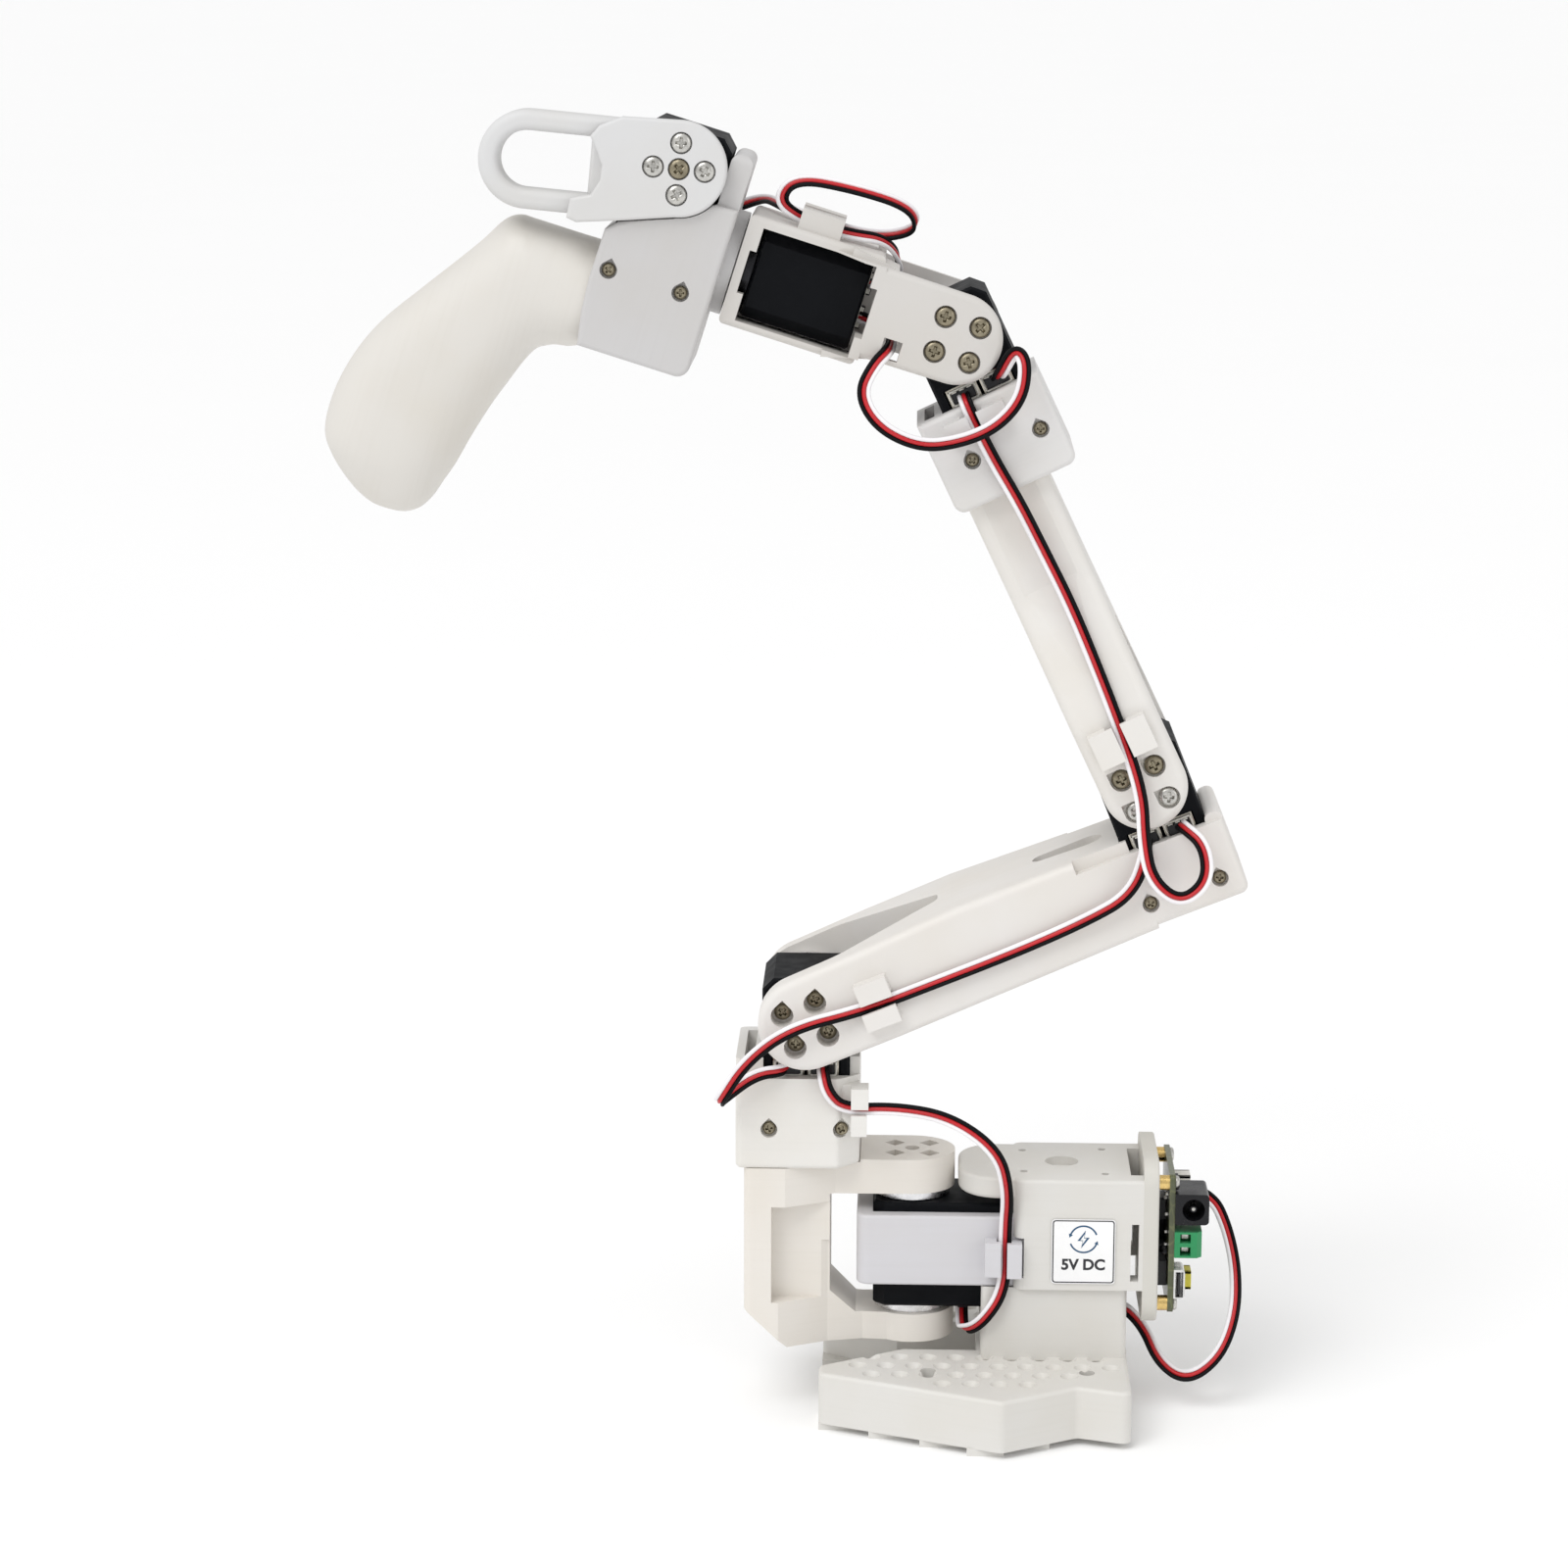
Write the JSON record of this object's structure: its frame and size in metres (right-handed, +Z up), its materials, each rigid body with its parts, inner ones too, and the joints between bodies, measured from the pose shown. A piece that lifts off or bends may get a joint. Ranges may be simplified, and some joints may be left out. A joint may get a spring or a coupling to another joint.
{
  "type": "tele-operation leader arm",
  "caption": "Desktop articulated leader arm with printed links, servo joints, a pistol grip with a ring trigger, and a control board on the back of its foot.",
  "frame": {"origin": "on the plane the foot stands on, below the shoulder pan axis", "axes": "+Z up along the shoulder pan axis, -X the way the arm reaches at rest, +X towards the control board, -Y the side with the servo lead sockets"},
  "size_m": [0.2611, 0.1094, 0.3696],
  "materials": {
    "warm_print": "fine 3D-print layer lines, satin matt",
    "cool_print": "fine 3D-print layer lines, satin matt",
    "servo_black": "moulded, fine grain",
    "servo_works": "metal gears and motor can",
    "horn_metal": "turned, bright",
    "screw_metal": "plated pan-head screws",
    "circuit_board": "olive solder mask",
    "black_connector": "moulded",
    "green_terminal": "moulded",
    "socket_steel": "folded sheet",
    "white_connector": "moulded",
    "brass": "machined",
    "sticker": "printed label",
    "lead_wires": "three thin insulated wires, white, red and black"
  },
  "bodies": {
    "base": {"base_frame": "warm_print", "pan_servo_holder": "cool_print", "board_plate": "cool_print", "board_standoffs": "brass", "control_board": "circuit_board", "power_jack": "black_connector", "screw_terminal": "green_terminal", "usb_socket": "socket_steel", "bus_connectors": "white_connector", "board_components": "black_connector", "board_screws": "screw_metal", "rating_sticker": "sticker", "pan_servo_case": "servo_black", "pan_servo_internals": "servo_works", "board_pan_lead": "lead_wires"},
    "shoulder": {"pan_bracket": "warm_print", "lift_servo_holder": "cool_print", "shoulder_screws": "screw_metal", "pan_horns": "horn_metal", "lift_servo_case": "servo_black", "lift_servo_internals": "servo_works", "pan_lift_lead": "lead_wires"},
    "upper_arm": {"upper_arm": "warm_print", "upper_arm_screws": "screw_metal", "lift_horns": "horn_metal", "elbow_servo_case": "servo_black", "elbow_servo_internals": "servo_works", "lift_elbow_lead": "lead_wires"},
    "forearm": {"forearm_beam": "warm_print", "wrist_servo_holder": "cool_print", "forearm_screws": "screw_metal", "elbow_horns": "horn_metal", "wrist_servo_case": "servo_black", "wrist_servo_internals": "servo_works", "elbow_wrist_lead": "lead_wires"},
    "wrist": {"wrist_bracket": "cool_print", "wrist_screws": "screw_metal", "wrist_horns": "horn_metal", "roll_servo_case": "servo_black", "roll_servo_internals": "servo_works", "wrist_roll_lead": "lead_wires"},
    "handle": {"trigger_servo_housing": "cool_print", "grip": "warm_print", "handle_screws": "screw_metal", "roll_horns": "horn_metal", "trigger_servo_case": "servo_black", "trigger_servo_internals": "servo_works", "roll_trigger_lead": "lead_wires"},
    "trigger": {"ring_trigger": "cool_print", "trigger_screws": "screw_metal", "trigger_horns": "horn_metal"}
  },
  "joints": [
    {"name": "shoulder_pan", "type": "hinge", "parent": "base", "child": "shoulder", "pos_m": [0, 0, 0.0456], "axis": [0, 0, 1], "range_deg": [-95, 95], "deforming": ["pan_lift_lead"]},
    {"name": "shoulder_lift", "type": "hinge", "parent": "shoulder", "child": "upper_arm", "pos_m": [-0.0304, 0, 0.1166], "axis": [0, -1, 0], "range_deg": [-30, 80], "deforming": ["lift_elbow_lead"]},
    {"name": "elbow_flex", "type": "hinge", "parent": "upper_arm", "child": "forearm", "pos_m": [0.06348, 0, 0.18473], "axis": [0, -1, 0], "range_deg": [-90, 60], "deforming": ["elbow_wrist_lead"]},
    {"name": "wrist_flex", "type": "hinge", "parent": "forearm", "child": "wrist", "pos_m": [0.01014, 0, 0.30864], "axis": [0, 1, 0], "range_deg": [-40, 110], "deforming": ["wrist_roll_lead"]},
    {"name": "wrist_roll", "type": "hinge", "parent": "wrist", "child": "handle", "pos_m": [0.0099, 0, 0.30787], "axis": [-0.9537, 0, 0.3007], "range_deg": [-160, 160], "deforming": ["roll_trigger_lead"]},
    {"name": "trigger", "type": "hinge", "parent": "handle", "child": "trigger", "pos_m": [-0.06536, 0, 0.35415], "axis": [0, 1, 0], "range_deg": [0, 100]}
  ]
}
